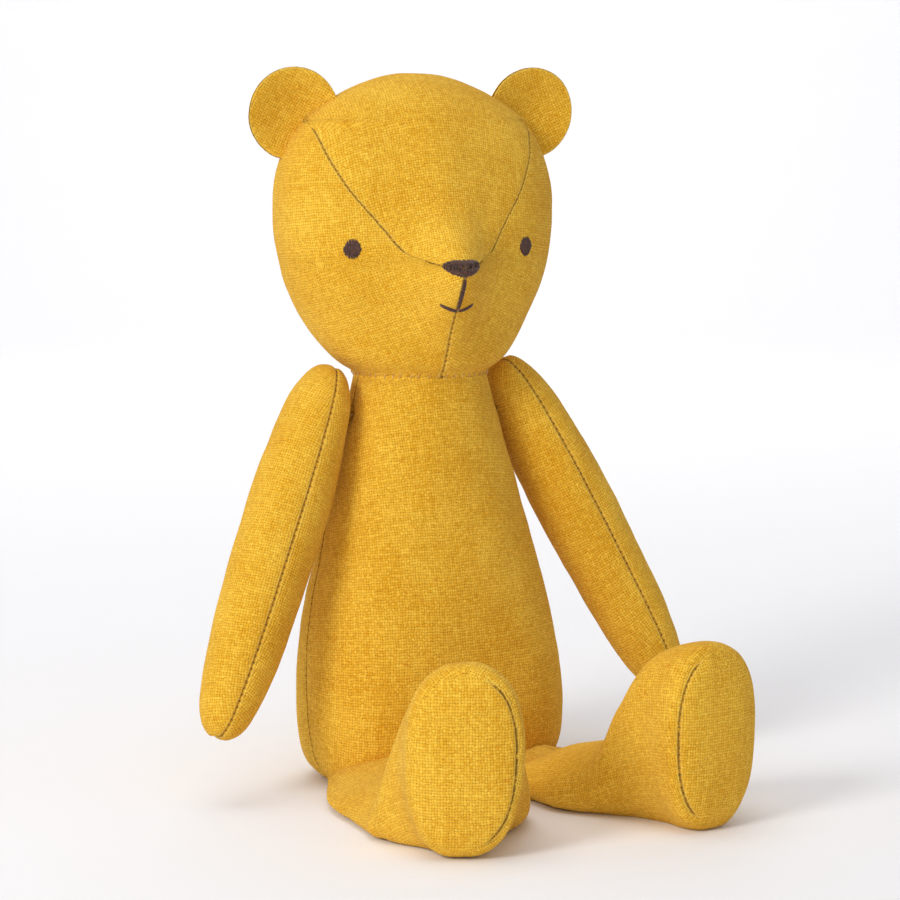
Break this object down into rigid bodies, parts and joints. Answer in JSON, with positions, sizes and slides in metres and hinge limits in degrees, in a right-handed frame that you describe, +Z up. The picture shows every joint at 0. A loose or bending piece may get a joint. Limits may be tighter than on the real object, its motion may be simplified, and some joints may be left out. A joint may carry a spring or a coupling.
{
  "type": "jointed teddy bear",
  "caption": "Sewn linen teddy bear sitting with legs forward: turning head and arms, folding legs, puffed ears, embroidered face and oval soles.",
  "frame": {"origin": "on the floor under the middle of the flat seat", "axes": "+Z up, the bear faces -Y, +X towards the bear's own left side"},
  "size_m": [0.1542, 0.1515, 0.2026],
  "materials": {
    "linen": "plain-woven golden linen",
    "stuffing": "polyester fibre",
    "floss": "brown satin stitch",
    "thread": "golden sewing thread",
    "cord": "waxed cord",
    "button": "matte"
  },
  "bodies": {
    "torso": {"body_front": "linen", "body_back": "linen", "body_stuffing": "stuffing", "neck_thread": "thread", "shoulder_cord": "cord", "seat_seam_thread": "thread"},
    "head": {"head_gusset": "linen", "face_left": "linen", "face_right": "linen", "head_stuffing": "stuffing", "ear_left_front": "linen", "ear_left_back": "linen", "ear_left_padding": "stuffing", "ear_right_front": "linen", "ear_right_back": "linen", "ear_right_padding": "stuffing", "eye_left": "floss", "eye_right": "floss", "nose": "floss", "mouth": "floss"},
    "arm_left": {"arm_left_outer": "linen", "arm_left_inner": "linen", "arm_left_stuffing": "stuffing", "arm_left_button": "button"},
    "arm_right": {"arm_right_outer": "linen", "arm_right_inner": "linen", "arm_right_stuffing": "stuffing", "arm_right_button": "button"},
    "leg_left": {"leg_left_outer": "linen", "leg_left_inner": "linen", "leg_left_sole": "linen", "leg_left_stuffing": "stuffing"},
    "leg_right": {"leg_right_outer": "linen", "leg_right_inner": "linen", "leg_right_sole": "linen", "leg_right_stuffing": "stuffing"}
  },
  "joints": [
    {"name": "head_turn", "type": "hinge", "parent": "torso", "child": "head", "pos_m": [0, 0.00753, 0.1158], "axis": [0, 0, 1], "range_deg": [-15, 35]},
    {"name": "arm_left_turn", "type": "hinge", "parent": "torso", "child": "arm_left", "pos_m": [0.0336, 0.0067, 0.1043], "axis": [-1, 0, 0], "range_deg": [-75, 90]},
    {"name": "arm_right_turn", "type": "hinge", "parent": "torso", "child": "arm_right", "pos_m": [-0.0336, 0.0067, 0.1043], "axis": [-1, 0, 0], "range_deg": [-75, 90]},
    {"name": "leg_left_fold", "type": "hinge", "parent": "torso", "child": "leg_left", "pos_m": [0.023, -0.0264, 0.0054], "axis": [1, 0, 0], "range_deg": [-40, 90]},
    {"name": "leg_right_fold", "type": "hinge", "parent": "torso", "child": "leg_right", "pos_m": [-0.023, -0.0264, 0.0054], "axis": [1, 0, 0], "range_deg": [-40, 90]}
  ]
}
